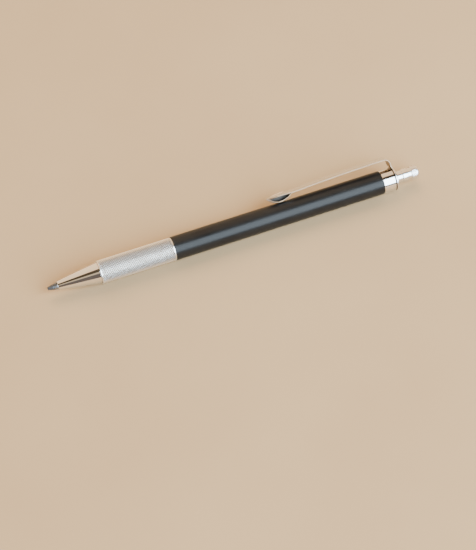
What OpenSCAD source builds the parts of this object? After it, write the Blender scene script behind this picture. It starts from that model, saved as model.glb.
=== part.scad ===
// Clutch lead holder for 2 mm leads, lying on a table with its writing tip toward -X.
// The origin is on the pencil's axis, at the middle of the knurled grip.
// The clip leans away from straight up by clip_roll.

/* [Grip] */
// Diameter of the knurled grip sleeve at the middle height of its knurl
grip_d = 8.28; // [8:0.02:8.3]
// Length of the grip sleeve
grip_l = 27.6; // [26:0.2:34]

/* [Nozzle] */
// Length of the cone in front of the grip
nozzle_l = 15.2; // [14:0.2:17]
// Diameter of the cone's wide end
nozzle_base_d = 7.7; // [7:0.1:7.9]
// Diameter of the cone's narrow end
nozzle_mouth_d = 3.2; // [3.2:0.05:3.6]

/* [Barrel] */
// Outside diameter of the barrel
barrel_d = 8.6; // [8.6:0.1:8.8]
// Length of barrel between the grip and the collar
barrel_l = 79.8; // [76:0.2:90]
// Length of the bright collar at the barrel's rear end
collar_l = 4.8; // [4:0.1:7]

/* [Clip] */
// Diameter of the clip's washer
washer_d = 9; // [8.9:0.1:9.4]
// Thickness of the clip's steel strip
strip_t = 0.5; // [0.4:0.05:0.6]
// Width of the strip at the bend
clip_root_w = 4.4; // [4:0.1:4.8]
// Width of the strip at the pressed boat
clip_tip_w = 3.7; // [3.5:0.1:4]
// Turn of the clip about the pencil's axis, from straight up
clip_roll = -40.5; // [-60:0.5:60]

/* [Clutch] */
// Diameter of the lead
lead_d = 2; // [1.8:0.1:2]
// Length of lead in the holder
lead_l = 110; // [70:1:116]
// Turns of the return spring
spring_turns = 8; // [6:1:9]

/* [Push button] */
// Diameter of the button's head
button_d = 5.2; // [5.1:0.1:5.6]
// Length of button behind the end bush
button_l = 8.6; // [8.2:0.1:10]

/* [Hidden] */
$fn = 72;

// Running clearance on the radius between parts that slide or screw together
run = 0.02;
chamfer = 0.15;

// Places along the axis, from the tip to the button
x_grip_front = -grip_l / 2;
x_grip_rear = grip_l / 2;
x_mouth = x_grip_front - nozzle_l;
x_collar = x_grip_rear + barrel_l;
x_washer = x_collar + collar_l;
x_bush_head = x_washer + strip_t;
bush_head_l = 0.5;
x_button_end = x_bush_head + bush_head_l + button_l;

// Radii of the fixed parts
grip_r = grip_d / 2;
barrel_r = barrel_d / 2;
grip_bore_r = 3;
barrel_bore_r = 3.2;
spigot_r = barrel_r - 0.55;
collar_r = barrel_r + 0.05;
washer_r = washer_d / 2;

// Screwed lengths
nozzle_shank_l = 6;
x_shank_end = x_grip_front + nozzle_shank_l;
insert_in_grip = 6.2;
insert_in_barrel = 10.2;
bush_shank_l = 12.4;

// Push tube, collet and lead
lead_r = lead_d / 2;
lead_tip_r = 0.55;
lead_cone_l = 1.9;
lead_stick_out = 3.7;
tube_r = 1.7;
tube_bore_r = 1.2;
guide_r = tube_r + 0.05;
x_jaw_root = x_grip_front - 1.2;
x_collet_rear = x_grip_front + 9.8;
collet_socket_l = 4;
collet_socket_r = 1.45;
x_tube_rear = x_button_end - 4.6;

// Jaws: three fingers that end in a cone, which the nozzle's mouth squeezes
jaw_span = 104;
jaw_gap = 0.05;
jaw_inner_r = lead_r + 0.02;
jaw_neck_r = 1.2;
jaw_head_r = 1.41;
jaw_front_r = 1.22;
jaw_stick_out = 1.25;
jaw_cone_l = 2.3;
mouth_bore_r = jaw_head_r + run;
neck_bore_r = 1.31;
mouth_cone_l = 1.4;
neck_bore_l = 7;

// Return spring, between a washer on the nozzle's shank and a ring on the tube
seat_t = 0.5;
stop_l = 1.5;
spring_l = 12.9;
spring_wire = 0.45;
spring_mean_r = 2.35;
x_spring = x_shank_end + seat_t;
x_stop = x_spring + spring_l;

// Push button: a sliding skirt, a waist, a ring, a groove and a head
skirt_r = 2.5;
skirt_l = 2;
skirt_depth = 2.4;
waist_r = 2.25;
groove_r = 2.2;
button_r = button_d / 2;
x_ring_front = x_button_end - 6.3;
x_ring_rear = x_button_end - 4.15;
x_head = x_button_end - 2.8;
head_round = 0.9;
button_edge = 0.15;
bush_bore_r = skirt_r + 0.08;
pointer_l = 2.7;
pointer_mouth_r = 1.15;
pointer_end_r = 0.35;
blade_w = 1.1;
blade_t = 0.2;

// Clip: the strip's middle line, measured from the pencil's axis
clip_high = 8.15;
clip_slope = 0.012;
clip_curve = 0.00075;
x_clip_high = x_washer - 5.4;
bend_r = 2;
leg_lean = 0.6;
leg_foot_r = washer_r + 0.5;
leg_gap = 0.05;
boat_l = 10;
boat_half_w = clip_tip_w / 2;
boat_wall = 0.4;
boat_web = 0.5;
boat_nose = 1.05;
boat_shift = 0.35;
boat_clear = 0.08;
boat_tilt = -1.6;
boat_step = 0.13;
boat_overlap = 1.2;
x_boat = x_washer - 42.65;
arm_steps = 14;
bend_steps = 8;

function arm_r(x) =
    clip_high - clip_slope * (x_clip_high - x) - clip_curve * pow(x_clip_high - x, 2);

// Solid of revolution about the X axis; each point of the outline is [x, radius]
module turned(outline) {
    rotate([0, 90, 0])
        rotate_extrude()
            polygon([for (p = outline) [p[1], p[0]]]);
}

// Part of such a solid, span degrees wide, centred on the upward direction
module turned_sector(outline, span) {
    rotate([0, 90, 0])
        rotate([0, 0, 180 - span / 2])
            rotate_extrude(angle = span)
                polygon([for (p = outline) [p[1], p[0]]]);
}

module tube(x0, x1, outer_r, inner_r) {
    turned([[x0, inner_r], [x1, inner_r], [x1, outer_r], [x0, outer_r]]);
}

module nozzle() {
    base_r = nozzle_base_d / 2;
    mouth_r = nozzle_mouth_d / 2;
    swell = 0.06;
    x_wide_bore = x_mouth + neck_bore_l;
    color("gainsboro")
        turned([
            [x_mouth, mouth_bore_r],
            [x_mouth + mouth_cone_l, neck_bore_r],
            [x_wide_bore, neck_bore_r],
            [x_wide_bore + 0.5, guide_r],
            [x_shank_end, guide_r],
            [x_shank_end, grip_bore_r - run],
            [x_grip_front, grip_bore_r - run],
            [x_grip_front, base_r],
            [x_mouth + nozzle_l / 2, (base_r + mouth_r) / 2 + swell],
            [x_mouth + chamfer, mouth_r],
            [x_mouth, mouth_r - chamfer / 2]
        ]);
}

module grip_sleeve() {
    color("silver")
        turned([
            [x_grip_front, grip_bore_r],
            [x_grip_rear, grip_bore_r],
            [x_grip_rear, grip_r - chamfer],
            [x_grip_rear - chamfer, grip_r],
            [x_grip_front + chamfer, grip_r],
            [x_grip_front, grip_r - chamfer]
        ]);
}

module front_insert() {
    color("goldenrod")
        turned([
            [x_grip_rear - insert_in_grip, guide_r],
            [x_grip_rear + insert_in_barrel, guide_r],
            [x_grip_rear + insert_in_barrel, barrel_bore_r - run],
            [x_grip_rear, barrel_bore_r - run],
            [x_grip_rear, grip_bore_r - run],
            [x_grip_rear - insert_in_grip, grip_bore_r - run]
        ]);
}

module barrel() {
    x_spigot_end = x_washer - 0.1;
    color([0.13, 0.13, 0.14])
        turned([
            [x_grip_rear, barrel_bore_r],
            [x_spigot_end, barrel_bore_r],
            [x_spigot_end, spigot_r],
            [x_collar, spigot_r],
            [x_collar, barrel_r],
            [x_grip_rear + chamfer, barrel_r],
            [x_grip_rear, barrel_r - chamfer]
        ]);
}

module collar() {
    rear_chamfer = 0.3;
    color("gainsboro")
        turned([
            [x_collar, spigot_r + run],
            [x_washer, spigot_r + run],
            [x_washer, collar_r - rear_chamfer],
            [x_washer - rear_chamfer, collar_r],
            [x_collar + chamfer, collar_r],
            [x_collar, collar_r - chamfer]
        ]);
}

module end_bush() {
    head_r = 3.6;
    x_head_rear = x_bush_head + bush_head_l;
    color("silver")
        turned([
            [x_bush_head - bush_shank_l, bush_bore_r],
            [x_head_rear, bush_bore_r],
            [x_head_rear, head_r - chamfer],
            [x_head_rear - chamfer, head_r],
            [x_bush_head, head_r],
            [x_bush_head, barrel_bore_r - run],
            [x_bush_head - bush_shank_l, barrel_bore_r - run]
        ]);
}

// The strip's two edges in the plane of the clip, either side of its middle line
function normal(path, i) =
    let (
        before = path[max(i - 1, 0)],
        after = path[min(i + 1, len(path) - 1)],
        along = (after - before) / norm(after - before)
    )
    [-along[1], along[0]];
function strip_outline(path, t) = concat(
    [for (i = [0 : len(path) - 1]) path[i] + normal(path, i) * t / 2],
    [for (i = [len(path) - 1 : -1 : 0]) path[i] - normal(path, i) * t / 2]
);

// A flat outline in X and radius becomes a block that lies across the clip
module across(width) {
    rotate([90, 0, 0])
        linear_extrude(height = width, center = true)
            children();
}

module clip_ring() {
    tab_low = washer_r - 0.8;
    tab_high = leg_foot_r - strip_t / 2 - leg_gap;
    color("gainsboro")
        rotate([clip_roll, 0, 0])
            union() {
                tube(x_washer, x_bush_head, washer_r, barrel_bore_r);
                translate([x_washer, -clip_root_w / 2, tab_low])
                    cube([strip_t, clip_root_w, tab_high - tab_low]);
            }
}

// The boat seen from the side: a flat deck, with a tongue folded back below it as a bow
module bow(half_l, depth) {
    keel_r = (pow(half_l, 2) + pow(depth, 2)) / (2 * depth);
    intersection() {
        translate([0, keel_r - depth])
            circle(r = keel_r);
        translate([-half_l, -depth])
            square([2 * half_l, depth]);
    }
}

// The boat seen from above: as wide as the strip, with a pointed tip
module boat_plan(half_w, half_l) {
    arc_r = (pow(half_w, 2) + pow(half_l, 2)) / (2 * half_w);
    intersection() {
        translate([0, half_w - arc_r])
            circle(r = arc_r);
        translate([0, arc_r - half_w])
            circle(r = arc_r);
    }
    translate([0, -half_w])
        square([half_l, 2 * half_w]);
}

module boat() {
    half_l = boat_l / 2;
    deck = arm_r(x_boat + half_l) - boat_step + strip_t / 2;
    depth = deck - barrel_r - boat_clear;
    pocket_w = boat_half_w - boat_web / 2;
    translate([x_boat, 0, deck])
        rotate([0, boat_tilt, 0])
            difference() {
                intersection() {
                    across(4 * boat_half_w)
                        bow(half_l, depth);
                    translate([0, 0, -2 * depth])
                        linear_extrude(height = 3 * depth)
                            boat_plan(boat_half_w, half_l);
                }
                for (side = [-1, 1])
                    translate([boat_shift, side * (boat_web / 2 + pocket_w), -boat_wall])
                        across(2 * pocket_w)
                            bow(half_l - boat_nose, depth - 2 * boat_wall);
            }
}

module clip_arm() {
    leg_x = x_washer + strip_t / 2;
    bend_x = leg_x - leg_lean - bend_r;
    bend_z = arm_r(bend_x) - bend_r;
    arm_start = x_boat + boat_l / 2 - boat_overlap;
    arm_path = [
        for (i = [0 : arm_steps - 1])
            let (x = arm_start + (bend_x - arm_start) * i / arm_steps)
            [x, arm_r(x)]
    ];
    bend_path = [
        for (i = [0 : bend_steps])
            let (a = 90 - 90 * i / bend_steps)
            [bend_x + bend_r * cos(a), bend_z + bend_r * sin(a)]
    ];
    leg_path = [[leg_x, leg_foot_r]];
    color("gainsboro")
        rotate([clip_roll, 0, 0])
            union() {
                intersection() {
                    across(2 * clip_root_w)
                        polygon(strip_outline(concat(arm_path, bend_path, leg_path), strip_t));
                    linear_extrude(height = clip_high + 2)
                        polygon([
                            [arm_start, -clip_tip_w / 2],
                            [bend_x, -clip_root_w / 2],
                            [leg_x + strip_t, -clip_root_w / 2],
                            [leg_x + strip_t, clip_root_w / 2],
                            [bend_x, clip_root_w / 2],
                            [arm_start, clip_tip_w / 2]
                        ]);
                }
                translate([leg_x, 0, leg_foot_r])
                    across(clip_root_w)
                        circle(d = strip_t);
                boat();
            }
}

module push_tube() {
    color("silver")
        turned([
            [x_collet_rear, collet_socket_r + run],
            [x_collet_rear + collet_socket_l + chamfer, collet_socket_r + run],
            [x_collet_rear + collet_socket_l + chamfer, tube_bore_r],
            [x_tube_rear, tube_bore_r],
            [x_tube_rear, tube_r],
            [x_collet_rear, tube_r]
        ]);
}

module collet_shank() {
    bore_r = lead_r + 0.1;
    color("goldenrod")
        turned([
            [x_jaw_root, bore_r],
            [x_collet_rear + collet_socket_l, bore_r],
            [x_collet_rear + collet_socket_l, collet_socket_r],
            [x_collet_rear, collet_socket_r],
            [x_collet_rear, tube_r],
            [x_jaw_root, tube_r]
        ]);
}

module jaw(turn) {
    x_front = x_mouth - jaw_stick_out;
    x_bulge = x_mouth - 0.25;
    x_neck = x_mouth + jaw_cone_l;
    color("darkgray")
        rotate([turn, 0, 0])
            turned_sector([
                [x_front, jaw_inner_r],
                [x_jaw_root - jaw_gap, jaw_inner_r],
                [x_jaw_root - jaw_gap, jaw_neck_r],
                [x_neck, jaw_neck_r],
                [x_mouth, jaw_head_r],
                [x_bulge, jaw_head_r],
                [x_front, jaw_front_r]
            ], jaw_span);
}

module jaw_1() {
    jaw(60);
}

module jaw_2() {
    jaw(180);
}

module jaw_3() {
    jaw(300);
}

module spring_stop() {
    color("goldenrod")
        tube(x_stop, x_stop + stop_l, spring_mean_r + 0.35, tube_r + run);
}

module spring_washer() {
    color("silver")
        tube(x_shank_end, x_spring, spring_mean_r + 0.5, guide_r + 0.05);
}

// Share of the spring's length that is reached after a share u of its turns;
// the first and last turn lie almost closed
function coil_rise(u, turns, flat) =
    let (t = u * turns, open = (1 - 2 * flat) / (turns - 2))
    t < 1 ? t * flat : t > turns - 1 ? 1 - (turns - t) * flat : flat + (t - 1) * open;

module return_spring() {
    sides = 8;
    steps = spring_turns * 18;
    wire_r = spring_wire / 2;
    run_l = spring_l - spring_wire - 0.04;
    x_start = x_spring + wire_r + 0.02;
    flat = (spring_wire + 0.03) / run_l;
    points = [
        for (i = [0 : steps])
            for (j = [0 : sides - 1])
                let (
                    a = 360 * spring_turns * i / steps,
                    b = 360 * j / sides,
                    r = spring_mean_r + wire_r * cos(b),
                    x = x_start + run_l * coil_rise(i / steps, spring_turns, flat)
                )
                [x + wire_r * sin(b), r * cos(a), r * sin(a)]
    ];
    walls = [
        for (i = [0 : steps - 1])
            for (j = [0 : sides - 1])
                let (k = (j + 1) % sides)
                [i * sides + j, (i + 1) * sides + j, (i + 1) * sides + k, i * sides + k]
    ];
    front_cap = [for (j = [0 : sides - 1]) j];
    rear_cap = [for (j = [sides - 1 : -1 : 0]) steps * sides + j];
    color("dimgray")
        polyhedron(points = points, faces = concat(walls, [front_cap], [rear_cap]));
}

module push_button() {
    x_front = x_bush_head - skirt_depth;
    x_cup_end = x_tube_rear + pointer_l + 0.15;
    color("whitesmoke")
        turned([
            [x_front, tube_r + run],
            [x_cup_end, tube_r + run],
            [x_cup_end, 0],
            [x_button_end, 0],
            [x_button_end, button_r - head_round],
            [x_button_end - head_round * 0.3, button_r - head_round * 0.3],
            [x_button_end - head_round, button_r],
            [x_head + button_edge, button_r],
            [x_head, button_r - button_edge],
            [x_head, groove_r],
            [x_ring_rear, groove_r],
            [x_ring_rear, skirt_r - button_edge],
            [x_ring_rear - button_edge, skirt_r],
            [x_ring_front + button_edge, skirt_r],
            [x_ring_front, waist_r],
            [x_front + skirt_l + 0.3, waist_r],
            [x_front + skirt_l, skirt_r],
            [x_front, skirt_r]
        ]);
}

// Lead pointer in the button's cup, reached once the button is off
module pointer_insert() {
    x_front = x_tube_rear + 0.1;
    x_rear = x_front + pointer_l;
    color("royalblue")
        difference() {
            turned([
                [x_front, pointer_mouth_r],
                [x_rear, pointer_end_r],
                [x_rear, tube_r],
                [x_front, tube_r]
            ]);
            translate([x_front - 1, -blade_w / 2 - run, -tube_r])
                cube([pointer_l + 2, blade_w + 2 * run, tube_r - 0.9]);
        }
}

module pointer_blade() {
    x_front = x_tube_rear + 0.3;
    color("silver")
        translate([x_front, -blade_w / 2, -1.2])
            cube([pointer_l - 0.5, blade_w, blade_t]);
}

module lead() {
    x_tip = x_mouth - lead_stick_out;
    color([0.3, 0.32, 0.34])
        turned([
            [x_tip, 0],
            [x_tip, lead_tip_r],
            [x_tip + lead_cone_l, lead_r],
            [x_tip + lead_l, lead_r],
            [x_tip + lead_l, 0]
        ]);
}

nozzle();
grip_sleeve();
front_insert();
barrel();
end_bush();
collar();
clip_ring();
clip_arm();
push_tube();
collet_shank();
jaw_1();
jaw_2();
jaw_3();
spring_stop();
spring_washer();
return_spring();
push_button();
pointer_insert();
pointer_blade();
lead();
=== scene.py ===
import math

import bpy
import numpy as np
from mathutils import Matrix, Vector


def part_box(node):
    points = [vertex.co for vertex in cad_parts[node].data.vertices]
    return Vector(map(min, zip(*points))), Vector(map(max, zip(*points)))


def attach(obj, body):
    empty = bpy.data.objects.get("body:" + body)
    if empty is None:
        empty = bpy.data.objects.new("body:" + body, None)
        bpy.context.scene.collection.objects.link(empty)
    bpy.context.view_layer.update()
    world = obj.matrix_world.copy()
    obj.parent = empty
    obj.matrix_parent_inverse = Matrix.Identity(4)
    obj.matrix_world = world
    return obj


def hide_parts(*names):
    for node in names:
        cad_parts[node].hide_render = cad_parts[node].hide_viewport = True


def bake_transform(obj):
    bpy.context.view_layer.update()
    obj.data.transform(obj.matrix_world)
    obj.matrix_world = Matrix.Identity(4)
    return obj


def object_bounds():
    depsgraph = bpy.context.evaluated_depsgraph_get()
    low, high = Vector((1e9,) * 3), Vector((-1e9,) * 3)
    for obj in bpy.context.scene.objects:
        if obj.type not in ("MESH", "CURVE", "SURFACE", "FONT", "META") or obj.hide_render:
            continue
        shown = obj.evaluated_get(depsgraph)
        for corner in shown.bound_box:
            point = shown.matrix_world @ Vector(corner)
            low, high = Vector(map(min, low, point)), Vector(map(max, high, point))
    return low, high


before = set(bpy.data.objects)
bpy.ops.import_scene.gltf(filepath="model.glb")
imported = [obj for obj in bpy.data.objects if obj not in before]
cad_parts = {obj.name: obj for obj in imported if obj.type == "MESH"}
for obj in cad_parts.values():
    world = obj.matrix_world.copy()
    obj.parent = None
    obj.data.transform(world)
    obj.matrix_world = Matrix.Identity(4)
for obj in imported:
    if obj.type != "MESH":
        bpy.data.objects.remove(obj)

CAD_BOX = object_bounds()
MM = 0.001


# ---------------------------------------------------------------- mesh tools

class Shape:
    """Points, faces, a normal for each face corner and a material number for each face, in mm."""

    def __init__(self):
        self.points = []
        self.faces = []
        self.normals = []
        self.slots = []

    def add(self, points, faces, normals=None, slot=0):
        """Adds a part. Without normals its faces are flat."""
        points = np.asarray(points, float)
        used = sorted({i for face in faces for i in face})
        place = {i: len(self.points) + k for k, i in enumerate(used)}
        self.points.extend(points[used].tolist())
        for face in faces:
            self.faces.append([place[i] for i in face])
            self.slots.append(slot)
            if normals is None:
                a, b, c = points[face[0]], points[face[1]], points[face[-1]]
                n = np.cross(b - a, c - a)
                n = n / max(np.linalg.norm(n), 1e-12)
                self.normals.extend([n.tolist()] * len(face))
            else:
                self.normals.extend([tuple(normals[i]) for i in face])

    def piece(self, name, *materials):
        mesh = bpy.data.meshes.new(name)
        mesh.from_pydata([tuple(MM * v for v in p) for p in self.points], [], self.faces)
        mesh.shade_smooth()
        mesh.normals_split_custom_set(self.normals)
        for material in materials:
            mesh.materials.append(material)
        mesh.polygons.foreach_set("material_index", self.slots)
        mesh.update()
        made = bpy.data.objects.new(name, mesh)
        bpy.context.scene.collection.objects.link(made)
        return made


SMOOTH = -1
RUN = 0.02
KNURL_FINE = 8


def outline_runs(corners):
    """A turned outline, split where it has sharp edges into runs of (x, radius, normal x, normal r).

    A corner is (x, r), (x, r, fillet) or (x, r, SMOOTH). An outline whose ends lie on the axis is open.
    Any other outline is a closed loop, and starts at a sharp corner.
    """
    flat = np.array([c[:2] for c in corners], float)
    area = np.sum(flat[:, 0] * np.roll(flat[:, 1], -1) - np.roll(flat[:, 0], -1) * flat[:, 1])
    if area > 0:
        corners = corners[::-1] if flat[0, 1] == 0 else [corners[0]] + corners[:0:-1]
        flat = np.array([c[:2] for c in corners], float)
    closed = flat[0, 1] > 0
    kinds = [c[2] if len(c) > 2 else 0 for c in corners]
    n = len(corners)
    order = list(range(n)) + ([0] if closed else [])
    runs, run = [], []
    for place, i in enumerate(order):
        p = flat[i]
        first, last = place == 0, place == len(order) - 1
        into = None if first else p - flat[order[place - 1]]
        out = None if last else flat[order[place + 1]] - p
        side = [None if d is None else np.array([-d[1], d[0]]) / np.hypot(*d) for d in (into, out)]
        if first:
            run = [(*p, *side[1])]
        elif last:
            runs.append(run + [(*p, *side[0])])
        elif kinds[i] == 0:
            runs.append(run + [(*p, *side[0])])
            run = [(*p, *side[1])]
        elif kinds[i] == SMOOTH:
            m = side[0] + side[1]
            run.append((*p, *(m / np.hypot(*m))))
        else:
            run.extend(fillet(p, into, out, side[0], kinds[i]))
    return runs


def fillet(p, into, out, normal, radius):
    """Rounds the corner p between two straight stretches of an outline."""
    d0, d1 = into / np.hypot(*into), out / np.hypot(*out)
    turn = math.atan2(d0[0] * d1[1] - d0[1] * d1[0], float(d0 @ d1))
    start = p - d0 * radius * math.tan(abs(turn) / 2)
    hand = 1 if turn > 0 else -1
    centre = start + hand * radius * np.array([-d0[1], d0[0]])
    steps = max(3, math.ceil(abs(turn) / math.radians(12)))
    made = []
    for k in range(steps + 1):
        a = turn * k / steps
        spin = np.array([[math.cos(a), -math.sin(a)], [math.sin(a), math.cos(a)]])
        made.append((*(centre + spin @ (start - centre)), *(spin @ normal)))
    return made


def turned(shape, corners, sides=160, slot=0, slot_of=None):
    """Adds a solid of revolution about the X axis."""
    angle = 2 * math.pi * np.arange(sides) / sides
    s, c = np.sin(angle), np.cos(angle)
    for run in outline_runs(corners):
        points, normals, rings = [], [], []
        for x, r, nx, nr in run:
            if r < 1e-6:
                rings.append([len(points)])
                points.append((x, 0, 0))
                normals.append((nx, 0, 0))
                continue
            rings.append(list(range(len(points), len(points) + sides)))
            points.extend(zip(np.full(sides, x), r * s, r * c))
            normals.extend(zip(np.full(sides, nx), nr * s, nr * c))
        for a, b, here in zip(rings, rings[1:], run):
            faces = []
            for k in range(sides):
                m = (k + 1) % sides
                if len(a) == 1:
                    faces.append((a[0], b[k], b[m]))
                elif len(b) == 1:
                    faces.append((a[k], b[0], a[m]))
                else:
                    faces.append((a[k], b[k], b[m], a[m]))
            shape.add(points, faces, normals, slot_of(here[0]) if slot_of else slot)


def knurl_cell(crest_r, starts):
    """Length and width of one mesh cell of a knurl."""
    return 2 * math.pi * crest_r / (starts * KNURL_FINE)


def knurl(shape, crest_r, x_start, rows, starts, depth, slot=0):
    """Adds a diamond knurl: two sets of grooves at 45 degrees leave blunt pyramids between them."""
    flat_from = 0.86
    columns = starts * KNURL_FINE
    cell = knurl_cell(crest_r, starts)
    i, j = np.meshgrid(np.arange(columns), np.arange(-1, rows + 2), indexing="ij")
    at_end = (j < 0) | (j > rows)

    def rise(w):
        w = (w / KNURL_FINE) % 1
        return 2 * np.minimum(w, 1 - w)

    h = np.minimum(np.minimum(rise(i + j), rise(i - j)), flat_from) / flat_from
    h = np.where(at_end, 0, h)
    r = np.where(at_end, crest_r - depth - RUN, crest_r - depth * (1 - h))
    a = 2 * math.pi * i / columns
    x = x_start + cell * np.clip(j, 0, rows)
    points = np.stack([x, r * np.sin(a), r * np.cos(a)], -1).reshape(-1, 3)
    count = rows + 3
    faces = []
    for p in range(columns):
        q = (p + 1) % columns
        for k in range(count - 1):
            v = [p * count + k, p * count + k + 1, q * count + k + 1, q * count + k]
            g = [h[p, k], h[p, k + 1], h[q, k + 1], h[q, k]]
            if (abs(g[0] - g[2]), g[0] + g[2]) <= (abs(g[1] - g[3]), g[1] + g[3]):
                faces += [(v[0], v[1], v[2]), (v[0], v[2], v[3])]
            else:
                faces += [(v[1], v[2], v[3]), (v[1], v[3], v[0])]
    shape.add(points, faces, None, slot)


# ---------------------------------------------------------------- materials

class Paint:
    """A procedural material, and short ways to add its nodes."""

    def __init__(self, name, metallic=0.0, specular=0.5):
        self.material = bpy.data.materials.new(name)
        self.material.use_nodes = True
        self.tree = self.material.node_tree
        self.tree.nodes.clear()
        out = self.node("ShaderNodeOutputMaterial")
        self.shader = self.node("ShaderNodeBsdfPrincipled")
        self.link(self.shader.outputs["BSDF"], out.inputs["Surface"])
        self.shader.inputs["Metallic"].default_value = metallic
        self.shader.inputs["Specular IOR Level"].default_value = specular
        self.where = self.node("ShaderNodeTexCoord").outputs["Object"]

    def node(self, kind, **settings):
        made = self.tree.nodes.new(kind)
        for key, value in settings.items():
            setattr(made, key, value)
        return made

    def link(self, a, b):
        self.tree.links.new(a, b)

    def noise(self, sizes_mm, detail=2.0, roughness=0.5, seed=0.0):
        """Noise whose blotches are about sizes_mm long on X, Y and Z."""
        spread = self.node("ShaderNodeMapping")
        spread.inputs["Scale"].default_value = [1 / (MM * v) for v in sizes_mm]
        spread.inputs["Location"].default_value = (seed, 2 * seed, 3 * seed)
        self.link(self.where, spread.inputs["Vector"])
        made = self.node("ShaderNodeTexNoise")
        made.inputs["Scale"].default_value = 1
        made.inputs["Detail"].default_value = detail
        made.inputs["Roughness"].default_value = roughness
        self.link(spread.outputs["Vector"], made.inputs["Vector"])
        return made.outputs["Fac"]

    def math(self, operation, a, b=None, c=None):
        made = self.node("ShaderNodeMath", operation=operation)
        for socket, value in zip(made.inputs, (a, b, c)):
            if value is None:
                continue
            if isinstance(value, (int, float)):
                socket.default_value = value
            else:
                self.link(value, socket)
        return made.outputs[0]

    def spread(self, value, low, high, to_low, to_high):
        """Maps low..high to to_low..to_high, and stays inside it."""
        made = self.node("ShaderNodeMapRange", clamp=True)
        for key, number in (("From Min", low), ("From Max", high), ("To Min", to_low), ("To Max", to_high)):
            made.inputs[key].default_value = number
        self.link(value, made.inputs["Value"])
        return made.outputs["Result"]

    def mix(self, share, a, b):
        """Colour a where share is 0, b where it is 1."""
        made = self.node("ShaderNodeMix", data_type="RGBA")
        colours = [s for s in made.inputs if s.type == "RGBA"]
        self.link(share, made.inputs["Factor"])
        for socket, value in zip(colours, (a, b)):
            if isinstance(value, tuple):
                socket.default_value = (*value, 1)
            else:
                self.link(value, socket)
        return [s for s in made.outputs if s.type == "RGBA"][0]

    def radius(self):
        """Distance from the pencil's axis, in mm."""
        parts = self.node("ShaderNodeSeparateXYZ")
        self.link(self.where, parts.inputs[0])
        yy = self.math("MULTIPLY", parts.outputs["Y"], parts.outputs["Y"])
        zz = self.math("MULTIPLY", parts.outputs["Z"], parts.outputs["Z"])
        return self.math("MULTIPLY", self.math("SQRT", self.math("ADD", yy, zz)), 1 / MM)

    def along(self):
        """Place along the pencil's axis, in mm."""
        parts = self.node("ShaderNodeSeparateXYZ")
        self.link(self.where, parts.inputs[0])
        return self.math("MULTIPLY", parts.outputs["X"], 1 / MM)

    def bump(self, height, depth_mm, strength=1.0):
        made = self.node("ShaderNodeBump")
        made.inputs["Strength"].default_value = strength
        made.inputs["Distance"].default_value = depth_mm * MM
        self.link(height, made.inputs["Height"])
        self.link(made.outputs["Normal"], self.shader.inputs["Normal"])

    def colour(self, value):
        self.link(value, self.shader.inputs["Base Color"])

    def rough(self, value):
        self.link(value, self.shader.inputs["Roughness"])


def metal(name, colour, rough, lines_mm, depth_mm, dull=0.9, seed=0.0, patches_mm=3.0):
    """Bare or plated metal: tool or brush lines, cloudy handling marks and a few fine scratches."""
    scratch_mm, scratch_rough = (0.9, 0.035, 0.05), 0.10
    p = Paint(name, metallic=1.0)
    lines = p.noise(lines_mm, detail=3.0, seed=seed)
    clouds = p.noise([patches_mm] * 3, detail=3.0, roughness=0.6, seed=seed + 5)
    scratch = p.noise(scratch_mm, detail=1.0, seed=seed + 9)
    marks = p.spread(scratch, 0.70, 0.78, 0.0, 1.0)
    low, high = rough
    base = p.math("ADD", p.spread(lines, 0.3, 0.7, 0.0, 0.45), p.spread(clouds, 0.35, 0.65, 0.0, 0.55))
    worn = p.math("ADD", p.spread(base, 0.0, 1.0, low, high), p.math("MULTIPLY", marks, scratch_rough))
    p.rough(worn)
    dark = tuple(v * dull for v in colour)
    p.colour(p.mix(p.spread(clouds, 0.3, 0.7, 0.0, 1.0), dark, colour))
    p.bump(p.math("SUBTRACT", lines, p.math("MULTIPLY", marks, 0.6)), depth_mm)
    return p.material


GRIP_CREST = 4.2


def grip_paint():
    """Bright drawn metal, with painted shade: a near-black colour in the knurl's grooves."""
    p = Paint("grip_nickel", metallic=1.0)
    r = p.radius()
    clouds = p.noise((4, 3, 3), detail=3.0, seed=3)
    grain = p.noise((0.08, 0.03, 0.03), detail=2.0, seed=4)
    crest = p.spread(r, GRIP_CREST - 0.26, GRIP_CREST - 0.18, 0.0, 1.0)
    worn = p.mix(p.spread(clouds, 0.35, 0.7, 0.0, 1.0), (0.92, 0.90, 0.87), (0.98, 0.97, 0.95))
    # Painted shade: where the crest share falls to 0, in the knurl's grooves, the colour goes near black.
    p.colour(p.mix(crest, (0.08, 0.07, 0.06), worn))
    p.rough(p.math("ADD", p.spread(crest, 0, 1, 0.45, 0.27), p.spread(grain, 0.3, 0.7, 0.0, 0.08)))
    p.bump(grain, 0.0015)
    return p.material


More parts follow.
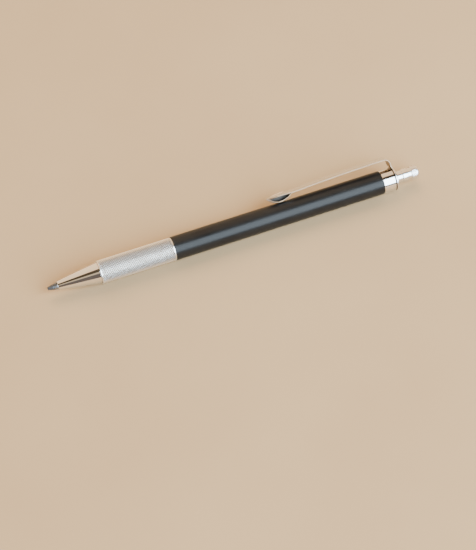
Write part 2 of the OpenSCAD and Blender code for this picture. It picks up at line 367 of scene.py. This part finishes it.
def barrel_paint():
    """Satin black lacquer on a turned tube: faint orange peel, dust, and edges rubbed grey."""
    p = Paint("barrel_lacquer", metallic=0.0, specular=0.22)
    peel = p.noise((0.5, 0.35, 0.35), detail=2.0, seed=11)
    lines = p.noise((0.05, 4, 4), detail=2.0, seed=12)
    clouds = p.noise((9, 3, 3), detail=4.0, roughness=0.6, seed=13)
    dust = p.spread(p.noise((0.16, 0.12, 0.12), detail=0.0, seed=14), 0.79, 0.83, 0.0, 1.0)
    x = p.along()
    front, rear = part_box("barrel")[0].x / MM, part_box("collar")[0].x / MM
    near_end = p.math(
        "MAXIMUM",
        p.spread(x, front, front + 0.5, 1.0, 0.0),
        p.spread(x, rear - 0.3, rear, 0.0, 1.0),
    )
    rub = p.math("MULTIPLY", near_end, p.spread(clouds, 0.45, 0.6, 0.0, 0.7))
    black = p.mix(p.spread(clouds, 0.3, 0.7, 0.0, 1.0), (0.0085, 0.008, 0.008), (0.013, 0.0125, 0.012))
    dusty = p.mix(p.math("MULTIPLY", dust, 0.5), black, (0.12, 0.11, 0.09))
    p.colour(p.mix(rub, dusty, (0.06, 0.058, 0.055)))
    p.rough(p.math("ADD", p.spread(clouds, 0.3, 0.7, 0.27, 0.33), p.spread(lines, 0.3, 0.7, 0.0, 0.04)))
    p.bump(p.math("ADD", peel, p.math("MULTIPLY", lines, 0.25)), 0.0016)
    return p.material


def lead_paint():
    """Graphite: grey, streaked along its length, with a burnished sheen."""
    p = Paint("graphite_lead", metallic=0.55)
    streaks = p.noise((2.5, 0.08, 0.08), detail=3.0, seed=21)
    specks = p.noise((0.07, 0.07, 0.07), detail=2.0, seed=22)
    p.colour(p.mix(p.spread(streaks, 0.3, 0.7, 0.0, 1.0), (0.075, 0.078, 0.083), (0.115, 0.118, 0.124)))
    p.rough(p.spread(specks, 0.3, 0.7, 0.30, 0.46))
    p.bump(specks, 0.008)
    return p.material


def plastic_paint():
    """Moulded blue plastic of the lead pointer, with graphite dust in it."""
    p = Paint("pointer_plastic", specular=0.5)
    clouds = p.noise((0.8, 0.8, 0.8), detail=3.0, seed=31)
    dust = p.spread(p.noise((0.1, 0.1, 0.1), detail=1.0, seed=32), 0.60, 0.72, 0.0, 0.8)
    blue = p.mix(p.spread(clouds, 0.3, 0.7, 0.0, 1.0), (0.02, 0.06, 0.25), (0.03, 0.09, 0.34))
    p.colour(p.mix(dust, blue, (0.06, 0.06, 0.065)))
    p.rough(p.spread(clouds, 0.3, 0.7, 0.32, 0.45))
    p.bump(clouds, 0.004)
    return p.material


# metal(name, colour, roughness range, tool lines in mm, their depth in mm, dull share, seed, patches in mm)
CHROME = (0.87, 0.865, 0.86)
chrome_nozzle = metal("nozzle_chrome", CHROME, (0.035, 0.075), (0.05, 3, 3), 0.0003, 0.95, 41)
chrome_collar = metal("collar_chrome", CHROME, (0.03, 0.07), (0.05, 3, 3), 0.0003, 0.95, 42)
clip_steel = metal("clip_nickel", (0.86, 0.85, 0.84), (0.18, 0.27), (4, 0.12, 0.12), 0.0006, 0.93, 43)
# Near-black inside the clip's boat pocket and on its web: painted shade.
clip_pocket_shade = metal("clip_pocket_painted_shade", (0.045, 0.040, 0.036), (0.4, 0.55), (1, 0.2, 0.2), 0.003, 0.8, 44)
# Brown on the strip's sheared edges and rounded corners: painted reflection, dimmer and warmer than bare
# steel gives.
clip_edge_painted_reflection = metal("clip_sheared_edge_painted_reflection", (0.32, 0.22, 0.14), (0.40, 0.55), (0.1, 0.3, 0.3), 0.004, 0.85, 52)
# Darker grey-brown on the strip's underside along the leg, bend and arm: painted shade under the clip.
clip_underside_shade = metal("clip_underside_painted_shade", (0.32, 0.29, 0.26), (0.2, 0.3), (4, 0.12, 0.12), 0.001, 0.8, 54)
# Dark grey-brown for the collar's chamfer beside the washer: painted shade in the groove between the two
# parts.
groove_shade = metal("groove_painted_shade", (0.22, 0.19, 0.16), (0.3, 0.5), (0.05, 1, 1), 0.001, 0.7, 53)
button_metal = metal("button_nickel", (0.90, 0.89, 0.87), (0.18, 0.26), (0.06, 2, 2), 0.0008, 0.93, 45)
bush_metal = metal("bush_nickel", (0.80, 0.79, 0.78), (0.12, 0.2), (0.06, 2, 2), 0.0008, 0.92, 46)
brass = metal("brass_turned", (0.78, 0.58, 0.28), (0.18, 0.3), (0.07, 2, 2), 0.0012, 0.85, 47)
tube_metal = metal("tube_drawn", (0.70, 0.69, 0.67), (0.2, 0.32), (5, 0.1, 0.1), 0.001, 0.9, 48)
jaw_metal = metal("jaw_steel", (0.32, 0.32, 0.325), (0.30, 0.45), (0.08, 1, 1), 0.0015, 0.8, 49, 1.0)
spring_steel = metal("spring_wire", (0.52, 0.51, 0.50), (0.2, 0.32), (0.5, 0.08, 0.08), 0.0015, 0.8, 50, 1.0)
blade_steel = metal("blade_ground", (0.72, 0.72, 0.73), (0.15, 0.25), (0.04, 1, 1), 0.001, 0.9, 51, 1.0)
grip_metal = grip_paint()
barrel_black = barrel_paint()
graphite = lead_paint()
pointer_plastic = plastic_paint()


# ---------------------------------------------------------------- places taken from the CAD model, in mm

def ends(node):
    low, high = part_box(node)
    return low.x / MM, high.x / MM


def outer(node):
    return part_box(node)[1].z / MM


X_MOUTH, X_SHANK = ends("nozzle")
X_GRIP, X_BARREL = ends("grip_sleeve")
X_SPIGOT = ends("barrel")[1]
X_COLLAR, X_WASHER = ends("collar")
X_BUSH, X_BUSH_END = ends("end_bush")
X_BUSH_HEAD = ends("clip_ring")[1]
X_SKIRT, X_END = ends("push_button")
X_LEAD, X_LEAD_END = ends("lead")
BARREL_R = outer("barrel")
COLLAR_R = outer("collar")
NOZZLE_R = outer("nozzle")
LEAD_R = outer("lead")
BUTTON_R = outer("push_button")
BUSH_R = outer("end_bush")
WASHER_R = -CAD_BOX[0].z / MM
INNER_R = 3.2
SPIGOT_STEP = 0.55


# ---------------------------------------------------------------- turned pieces

def make_nozzle():
    mouth_r, swell, steps = 1.6, 0.06, 22
    bore_r, neck_r, bell_r, shank_r = 1.75, 1.31, 1.43, 2.98
    shape = Shape()
    curve = []
    for k in range(steps + 1):
        u = k / steps
        r = mouth_r + (NOZZLE_R - mouth_r) * u + 4 * swell * u * (1 - u)
        kind = 0.11 if k == 0 else 0.10 if k == steps else SMOOTH
        curve.append((X_MOUTH + (X_GRIP - X_MOUTH) * u, r, kind))
    turned(shape, [
        (X_SHANK, bore_r),
        (X_MOUTH + 7.5, bore_r),
        (X_MOUTH + 7, neck_r),
        (X_MOUTH + 1.4, neck_r),
        (X_MOUTH, bell_r),
        *curve,
        (X_GRIP, shank_r),
        (X_SHANK, shank_r),
    ])
    made = shape.piece("nozzle_cone", chrome_nozzle)
    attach(made, "holder")
    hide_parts("nozzle")


def make_grip():
    least_rim, groove, bed, bore_r, starts = 0.4, 0.28, 0.31, 3.0, 30
    shape = Shape()
    cell = knurl_cell(GRIP_CREST, starts)
    rows = int((X_BARREL - X_GRIP - 2 * least_rim) / cell)
    rim = (X_BARREL - X_GRIP - rows * cell) / 2
    turned(shape, [
        (X_GRIP, bore_r),
        (X_BARREL, bore_r),
        (X_BARREL, GRIP_CREST, 0.12),
        (X_BARREL - rim, GRIP_CREST),
        (X_BARREL - rim, GRIP_CREST - bed),
        (X_GRIP + rim, GRIP_CREST - bed),
        (X_GRIP + rim, GRIP_CREST),
        (X_GRIP, GRIP_CREST, 0.12),
    ])
    knurl(shape, GRIP_CREST, X_GRIP + rim, rows, starts, groove)
    made = shape.piece("grip_knurled", grip_metal)
    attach(made, "holder")
    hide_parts("grip_sleeve")


def make_barrel():
    shape = Shape()
    spigot_r = BARREL_R - SPIGOT_STEP
    turned(shape, [
        (X_BARREL, INNER_R),
        (X_SPIGOT, INNER_R),
        (X_SPIGOT, spigot_r),
        (X_COLLAR, spigot_r),
        (X_COLLAR, BARREL_R, 0.05),
        (X_BARREL, BARREL_R, 0.14),
    ], 200)
    made = shape.piece("barrel_tube", barrel_black)
    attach(made, "holder")
    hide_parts("barrel")


def make_collar():
    shape = Shape()
    bore_r, chamfer = BARREL_R - SPIGOT_STEP + RUN, 0.42
    # The chamfer next to the washer takes the second material: painted shade in the groove.
    turned(shape, [
        (X_COLLAR, bore_r),
        (X_WASHER, bore_r),
        (X_WASHER, COLLAR_R - chamfer),
        (X_WASHER - chamfer, COLLAR_R, 0.05),
        (X_COLLAR, COLLAR_R, 0.14),
    ], 200, slot_of=lambda x: 1 if x > X_WASHER - chamfer - 0.01 else 0)
    made = shape.piece("collar_ring", chrome_collar, groove_shade)
    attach(made, "holder")
    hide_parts("collar")


def make_bush():
    shape = Shape()
    bore_r = 2.58
    turned(shape, [
        (X_BUSH, bore_r),
        (X_BUSH_END, bore_r, 0.06),
        (X_BUSH_END, BUSH_R, 0.14),
        (X_BUSH_HEAD, BUSH_R),
        (X_BUSH_HEAD, INNER_R - RUN),
        (X_BUSH, INNER_R - RUN),
    ])
    made = shape.piece("bush_screwed", bush_metal)
    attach(made, "holder")
    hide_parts("end_bush")


def make_button():
    shape = Shape()
    bore_r, groove_r, ring_r, waist_r = 1.72, 2.2, 2.5, 2.25
    x_head, x_ring_rear, x_ring = X_END - 2.8, X_END - 4.15, X_END - 6.3
    x_cup = X_END - 1.75
    knurl_x, crest, depth, starts, rows = x_head + 0.15, BUTTON_R, 0.05, 24, 20
    knurl_end = knurl_x + rows * knurl_cell(crest, starts)
    turned(shape, [
        (X_END, 0),
        (X_END, crest - RUN, 0.85),
        (knurl_end, crest),
        (knurl_end, crest - depth - RUN),
        (knurl_x, crest - depth - RUN),
        (knurl_x, crest),
        (x_head, crest, 0.08),
        (x_head, groove_r, 0.05),
        (x_ring_rear, groove_r, 0.05),
        (x_ring_rear, ring_r, 0.22),
        (x_ring, ring_r, 0.22),
        (x_ring, waist_r, 0.05),
        (X_SKIRT + 2.3, waist_r),
        (X_SKIRT + 2, ring_r),
        (X_SKIRT, ring_r, 0.05),
        (X_SKIRT, bore_r),
        (x_cup, bore_r),
        (x_cup, 0),
    ], 120)
    knurl(shape, crest, knurl_x, rows, starts, depth)
    made = shape.piece("button_turned", button_metal)
    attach(made, "cap")
    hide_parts("push_button")


def make_lead():
    shape = Shape()
    cone_l, tip_r = 1.9, 0.55
    turned(shape, [
        (X_LEAD, 0),
        (X_LEAD, tip_r, 0.12),
        (X_LEAD + cone_l, LEAD_R, 0.3),
        (X_LEAD_END, LEAD_R, 0.05),
        (X_LEAD_END, 0),
    ], 64)
    made = shape.piece("lead_stick", graphite)
    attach(made, "core")
    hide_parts("lead")


# ---------------------------------------------------------------- clip

CLIP_ROLL = math.radians(-40.5)
CLIP_UP = np.array([0, -math.sin(CLIP_ROLL), math.cos(CLIP_ROLL)])
CLIP_SIDE = np.array([0, -math.cos(CLIP_ROLL), -math.sin(CLIP_ROLL)])
STRIP_T = X_BUSH_HEAD - X_WASHER
BOAT_X = X_WASHER - 42.65
BOAT_HALF = 5.0
BOAT_TILT = math.radians(1.6)
BOAT_W = 1.85
ROOT_W = 2.2
POCKET_HALF = 3.95
POCKET_X = 0.35
WALL = 0.4
WEB = 0.25
BOAT_STEP = 0.13
BOAT_CLEAR = 0.08
DECK_DISH = 0.28
TONGUE_DISH = 0.6


def arm_r(x):
    """Height of the strip's middle line above the pencil's axis."""
    back = X_WASHER - 5.4 - x
    return 8.15 - 0.012 * back - 0.00075 * back ** 2


DECK = arm_r(BOAT_X + BOAT_HALF) - BOAT_STEP + STRIP_T / 2
BOAT_DEPTH = DECK - BARREL_R - BOAT_CLEAR


def in_clip(x, z, side=0.0):
    """A point of the clip's own plane, moved sideways, in the shared frame."""
    return np.array([x, 0, 0]) + CLIP_UP * z + CLIP_SIDE * side


def on_boat(x, z):
    """A place on the tilted boat, measured from its middle and its deck, in the clip's own plane."""
    c, s = math.cos(BOAT_TILT), math.sin(BOAT_TILT)
    return BOAT_X + x * c - z * s, DECK + x * s + z * c


def bow(half, depth, count, first=-1.0, last=1.0):
    """Points along an arc that hangs below a straight deck of length 2 * half."""
    r = (half ** 2 + depth ** 2) / (2 * depth)
    reach = math.asin(half / r)
    turns = np.linspace(first * reach, last * reach, count)
    return [(r * math.sin(a), r - depth - r * math.cos(a)) for a in turns]


def boat_width(x):
    """Half of the boat's width at x from its middle: a pointed tip, then as wide as the strip."""
    if x >= 0:
        return BOAT_W
    arc_r = (BOAT_W ** 2 + BOAT_HALF ** 2) / (2 * BOAT_W)
    return max(0.2, math.sqrt(max(arc_r ** 2 - x ** 2, 0)) - (arc_r - BOAT_W))


def pocket_bow(count):
    """The pocket's outline: a shorter bow inside the boat's."""
    depth = BOAT_DEPTH - 2 * WALL
    return [(POCKET_X + x, z - WALL) for x, z in bow(POCKET_HALF, depth, count)]


def strip_sections():
    """Sections along the clip's strip, from its foot to the tongue's end.

    A section is (outer x, outer z, inner x, inner z, outer half width, inner half width, dish). The dish
    is how far its two edges move from the outer face towards the inner one; below 0 they move outwards.
    The deck's edges so stand above its middle, and the tongue's edges rise into the pocket.
    """
    leg_x, lean = X_WASHER + STRIP_T / 2, 0.6
    foot_z, leg_steps, bend_r = 4.2, 8, 2
    bend_x = leg_x - lean - bend_r
    bend_z = arm_r(bend_x) - bend_r
    x_deck = BOAT_X + BOAT_HALF - 0.1
    line = []
    for k in range(leg_steps):
        u = k / leg_steps
        line.append((leg_x - lean * (1 - (1 - u) ** 2.5), foot_z + (bend_z - foot_z) * k / leg_steps))
    for k in range(21):
        a = math.radians(90 * k / 20)
        line.append((bend_x + bend_r * math.cos(a), bend_z + bend_r * math.sin(a)))
    line += [(x, arm_r(x)) for x in np.linspace(bend_x, x_deck, 24)[1:]]
    line = np.array(line)
    tangent = np.gradient(line, axis=0)
    tangent /= np.linalg.norm(tangent, axis=1)[:, None]
    made = []
    for (x, z), (tx, tz) in zip(line, tangent):
        share = min(1, max(0, (x - x_deck) / (bend_x - x_deck)))
        w = BOAT_W + (ROOT_W - BOAT_W) * share
        half = (STRIP_T - 0.05) / 2
        made.append((x + tz * half, z - tx * half, x - tz * half, z + tx * half, w, w, 0.0))

    left = POCKET_X - POCKET_HALF
    rim, inner = [], []
    for x in np.linspace(BOAT_HALF - 0.7, left, 18):
        rim.append((x, 0.0))
        inner.append((x, -WALL))
    tip = bow(BOAT_HALF, BOAT_DEPTH, 40)
    nose = [(x, 0.0) for x in np.linspace(left, -BOAT_HALF + 0.35, 8)[1:]]
    start, turn, end = nose[-1], (-BOAT_HALF, 0.0), tip[1]
    for u in np.linspace(0, 1, 6)[1:]:
        weights = (1 - u) ** 2, 2 * u * (1 - u), u ** 2
        nose.append(tuple(
            weights[0] * a + weights[1] * b + weights[2] * c for a, b, c in zip(start, turn, end)
        ))
    rim += nose
    inner += [(left, -WALL)] * len(nose)
    rim += tip[2:-1]
    inner += pocket_bow(len(tip) - 3)
    dish_from = len(rim) - len(tip) + 3
    for k, ((x0, z0), (x1, z1)) in enumerate(zip(rim, inner)):
        share = min(1, max(0, (k - dish_from) / 8))
        raised = DECK_DISH * min(1, k / 6) * (1 - share)
        dish = (TONGUE_DISH * share - raised) * (boat_width(x0) / BOAT_W) ** 2
        made.append((*on_boat(x0, z0), *on_boat(x1, z1), boat_width(x0), boat_width(x1), dish))
    return made, len(line)


def section_ring(section, arcs, flats, edge):
    """Points and normals round one section, from its near upper corner over the top and back below."""
    ox, oz, ix, iz, wo, wi, dish = section
    outer, inner = np.array([ox, oz]), np.array([ix, iz])
    thick = np.linalg.norm(outer - inner)
    across = (outer - inner) / thick
    middle = (outer + inner) / 2
    e = min(edge, thick / 2 - 0.01, wi - 0.02, wo - 0.02)
    places = []
    for quarter, (su, sv) in enumerate(((1, 1), (-1, 1), (-1, -1), (1, -1))):
        for k in range(arcs):
            a = math.pi / 2 * (quarter + k / (arcs - 1))
            u = su * (1 - e / wo) + e / wo * math.cos(a)
            places.append((math.cos(a), math.sin(a), u, sv * (thick / 2 - e) + e * math.sin(a)))
        if quarter in (0, 2):
            for k in range(1, flats):
                places.append((0, sv, su * (1 - e / wo) * (1 - 2 * k / flats), sv * thick / 2))
    ring, lean = [], []
    for side, high, u, v in places:
        w = wi + (wo - wi) * (v / thick + 0.5)
        u *= w
        v -= dish * (u / w) ** 2
        at = middle + across * v
        ring.append(in_clip(at[0], at[1], u))
        slope = 2 * dish * u / w ** 2 * (1 if high > 0 else -1)
        n = np.array([side + slope * high, high])
        n = n / np.linalg.norm(n)
        lean.append(np.array([across[0] * n[1], 0, 0]) + CLIP_UP * across[1] * n[1] + CLIP_SIDE * n[0])
    return ring, lean


def swept_strip(shape, sections, boat_from, edge=0.07):
    """Adds the strip with rounded edges.

    Its materials: 0 outside, 1 inside the boat (painted shade), 2 sheared edges (painted dim, warm
    reflection), 3 underside (painted shade).
    """
    arcs, flats = 4, 6
    rings = [section_ring(section, arcs, flats, edge) for section in sections]
    grid = np.array([ring for ring, lean in rings])
    lean = np.array([lean for ring, lean in rings])
    run = np.gradient(grid, axis=0)
    run /= np.maximum(np.linalg.norm(run, axis=2), 1e-9)[..., None]
    lean = lean - np.sum(lean * run, axis=2)[..., None] * run
    lean /= np.maximum(np.linalg.norm(lean, axis=2), 1e-9)[..., None]
    rows, ring = grid.shape[:2]
    top = range(arcs - 1, arcs + flats - 1)
    inside = range(3 * arcs + flats - 2, 3 * arcs + 2 * flats - 2)
    parts = {0: [], 1: [], 2: [], 3: []}
    for i in range(rows - 1):
        for k in range(ring):
            m = (k + 1) % ring
            face = (i * ring + k, i * ring + m, (i + 1) * ring + m, (i + 1) * ring + k)
            slot = 0 if k in top else (1 if i > boat_from else 3) if k in inside else 2
            parts[slot].append(face)
    points, normals = grid.reshape(-1, 3), lean.reshape(-1, 3)
    f = parts[0][len(parts[0]) // 2]
    facing = np.cross(points[f[1]] - points[f[0]], points[f[2]] - points[f[0]]) @ normals[f[0]]
    for slot, faces in parts.items():
        shape.add(points, faces if facing > 0 else [g[::-1] for g in faces], normals, slot)
    shape.add(points[:ring], [list(range(ring))], None, 0)
    shape.add(points[-ring:], [list(range(ring))[::-1]], None, 0)


def make_clip():
    washer = Shape()
    turned(washer, [
        (X_WASHER, INNER_R),
        (X_BUSH_HEAD, INNER_R),
        (X_BUSH_HEAD, WASHER_R, 0.14),
        (X_WASHER, WASHER_R, 0.05),
    ], 200)
    made = washer.piece("clip_washer", clip_steel)
    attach(made, "holder")
    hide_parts("clip_ring")

    sections, boat_from = strip_sections()
    strip = Shape()
    swept_strip(strip, sections, boat_from)
    # The web that closes the pocket takes the near-black second material: a dark sheet of painted shade.
    web = pocket_bow(24)
    points = [in_clip(*on_boat(x * 1.01, z - 0.02), side) for side in (-WEB, WEB) for x, z in web]
    n = len(web)
    far, near = list(range(n)), list(range(n, 2 * n))
    rim = [(k, (k + 1) % n, n + (k + 1) % n, n + k) for k in range(n)]
    strip.add(points, [near, far[::-1], *rim], None, 1)
    made = strip.piece("clip_strip", clip_steel, clip_pocket_shade, clip_edge_painted_reflection, clip_underside_shade)
    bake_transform(made)
    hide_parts("clip_arm")


make_nozzle()
make_grip()
make_barrel()
make_collar()
make_bush()
make_button()
make_lead()
make_clip()

KEPT = {
    "front_insert": brass,
    "collet_shank": brass,
    "spring_stop": brass,
    "push_tube": tube_metal,
    "jaw_1": jaw_metal,
    "jaw_2": jaw_metal,
    "jaw_3": jaw_metal,
    "spring_washer": bush_metal,
    "return_spring": spring_steel,
    "pointer_insert": pointer_plastic,
    "pointer_blade": blade_steel,
}
for node, material in KEPT.items():
    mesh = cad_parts[node].data
    mesh.materials.clear()
    mesh.materials.append(material)


# ---------------------------------------------------------------- floor, light and camera

def make_floor():
    half, z = 4.0, CAD_BOX[0].z
    mesh = bpy.data.meshes.new("floor")
    corners = [(-half, -half, z), (half, -half, z), (half, half, z), (-half, half, z)]
    mesh.from_pydata(corners, [], [(0, 1, 2, 3)])
    p = Paint("floor_paper", specular=0.25)
    clouds = p.noise((60, 60, 60), detail=3.0, seed=61)
    fibre = p.noise((0.9, 0.5, 0.5), detail=3.0, seed=62)
    p.colour(p.mix(p.spread(clouds, 0.3, 0.7, 0.0, 1.0), (0.46, 0.305, 0.16), (0.49, 0.33, 0.175)))
    p.rough(p.spread(fibre, 0.3, 0.7, 0.75, 0.9))
    p.bump(fibre, 0.02, 0.4)
    mesh.materials.append(p.material)
    floor = bpy.data.objects.new("floor", mesh)
    bpy.context.scene.collection.objects.link(floor)


# Colours of the surroundings by the angle about the X axis in degrees: 0 up, 90 behind, -90 in front.
# The first is seen in directions that lean towards -X, the second in those that lean towards +X.
ROOM_LEFT = (
    (-180, (0.30, 0.24, 0.19)),
    (-56, (0.17, 0.135, 0.115)),
    (-46, (0.20, 0.16, 0.13)),
    (-42, (0.85, 0.65, 0.42)),
    (-30, (0.85, 0.65, 0.42)),
    (-25, (0.11, 0.08, 0.05)),
    (3, (0.11, 0.08, 0.05)),
    (8, (1.70, 1.18, 0.70)),
    (90, (1.95, 1.35, 0.80)),
    (180, (1.2, 0.9, 0.6)),
)
ROOM_RIGHT = (
    (-180, (0.30, 0.24, 0.19)),
    (-92, (0.30, 0.25, 0.20)),
    (-80, (0.30, 0.25, 0.20)),
    (-20, (0.09, 0.07, 0.05)),
    (3, (0.09, 0.07, 0.05)),
    (8, (1.60, 1.08, 0.62)),
    (90, (1.75, 1.20, 0.70)),
    (180, (1.2, 0.9, 0.6)),
)


def make_room():
    """Surroundings in bands of colour: a bright wall behind, and a darker room above and in front."""
    world = bpy.data.worlds.new("studio")
    bpy.context.scene.world = world
    world.use_nodes = True
    tree = world.node_tree
    tree.nodes.clear()
    links = tree.links
    out = tree.nodes.new("ShaderNodeOutputWorld")
    glow = tree.nodes.new("ShaderNodeBackground")
    turn = tree.nodes.new("ShaderNodeMath")
    turn.operation = "ARCTAN2"
    share = tree.nodes.new("ShaderNodeMapRange")
    share.inputs["From Min"].default_value = -math.pi
    share.inputs["From Max"].default_value = math.pi
    side = tree.nodes.new("ShaderNodeMapRange")
    side.inputs["From Min"].default_value = -0.03
    side.inputs["From Max"].default_value = 0.06
    blend = tree.nodes.new("ShaderNodeMix")
    blend.data_type = "RGBA"
    parts = tree.nodes.new("ShaderNodeSeparateXYZ")
    where = tree.nodes.new("ShaderNodeTexCoord")
    links.new(where.outputs["Generated"], parts.inputs[0])
    links.new(parts.outputs["Y"], turn.inputs[0])
    links.new(parts.outputs["Z"], turn.inputs[1])
    links.new(turn.outputs[0], share.inputs["Value"])
    links.new(parts.outputs["X"], side.inputs["Value"])
    links.new(side.outputs["Result"], blend.inputs["Factor"])
    colours = [s for s in blend.inputs if s.type == "RGBA"]
    for socket, room in zip(colours, (ROOM_LEFT, ROOM_RIGHT)):
        ramp = tree.nodes.new("ShaderNodeValToRGB")
        links.new(share.outputs["Result"], ramp.inputs["Fac"])
        links.new(ramp.outputs["Color"], socket)
        stops = ramp.color_ramp.elements
        for k, (angle, colour) in enumerate(room):
            place = (angle + 180) / 360
            stop = stops[k] if k < 2 else stops.new(place)
            stop.position = place
            stop.color = (*colour, 1)
    links.new([s for s in blend.outputs if s.type == "RGBA"][0], glow.inputs["Color"])
    links.new(glow.outputs["Background"], out.inputs["Surface"])


def make_light(name, place, size, watts, colour, glossy=True, diffuse=1.0):
    data = bpy.data.lights.new(name, "AREA")
    data.shape = "RECTANGLE"
    data.size, data.size_y = size
    data.energy = watts
    data.color = colour
    data.diffuse_factor = diffuse
    lamp = bpy.data.objects.new(name, data)
    lamp.location = place
    aim = Vector((place[0], 0, 0)) - Vector(place)
    lamp.rotation_euler = aim.to_track_quat("-Z", "Y").to_euler()
    lamp.visible_glossy = glossy
    bpy.context.scene.collection.objects.link(lamp)


def make_lights():
    """A window that shows only in reflections, and a lamp overhead that doesn't show in any."""
    near, far, away = math.radians(-77), math.radians(-20), 1.2
    lean = (near + far) / 2
    width = 2 * away * math.tan((far - near) / 2)
    radiance, middle_x, length = 12.5, 0.92, 1.8
    make_light(
        "window",
        (middle_x, away * math.sin(lean), away * math.cos(lean)),
        (length, width), radiance * math.pi * length * width, (0.72, 0.87, 1.0), diffuse=0.0,
    )
    make_light("overhead", (0.1, 1.5, 1.9), (1.5, 1.5), 46, (1.0, 0.86, 0.68), glossy=False)


def make_camera():
    data = bpy.data.cameras.new("camera")
    data.lens = 130.9
    data.sensor_width = 36
    data.clip_start = 0.05
    data.clip_end = 20
    camera = bpy.data.objects.new("camera", data)
    camera.location = (-0.108915, -0.378648, 0.582949)
    forward = Vector((0.20032, 0.51480, -0.83360))
    camera.rotation_euler = forward.to_track_quat("-Z", "Y").to_euler()
    bpy.context.scene.collection.objects.link(camera)
    bpy.context.scene.camera = camera


make_floor()
make_room()
make_lights()
make_camera()
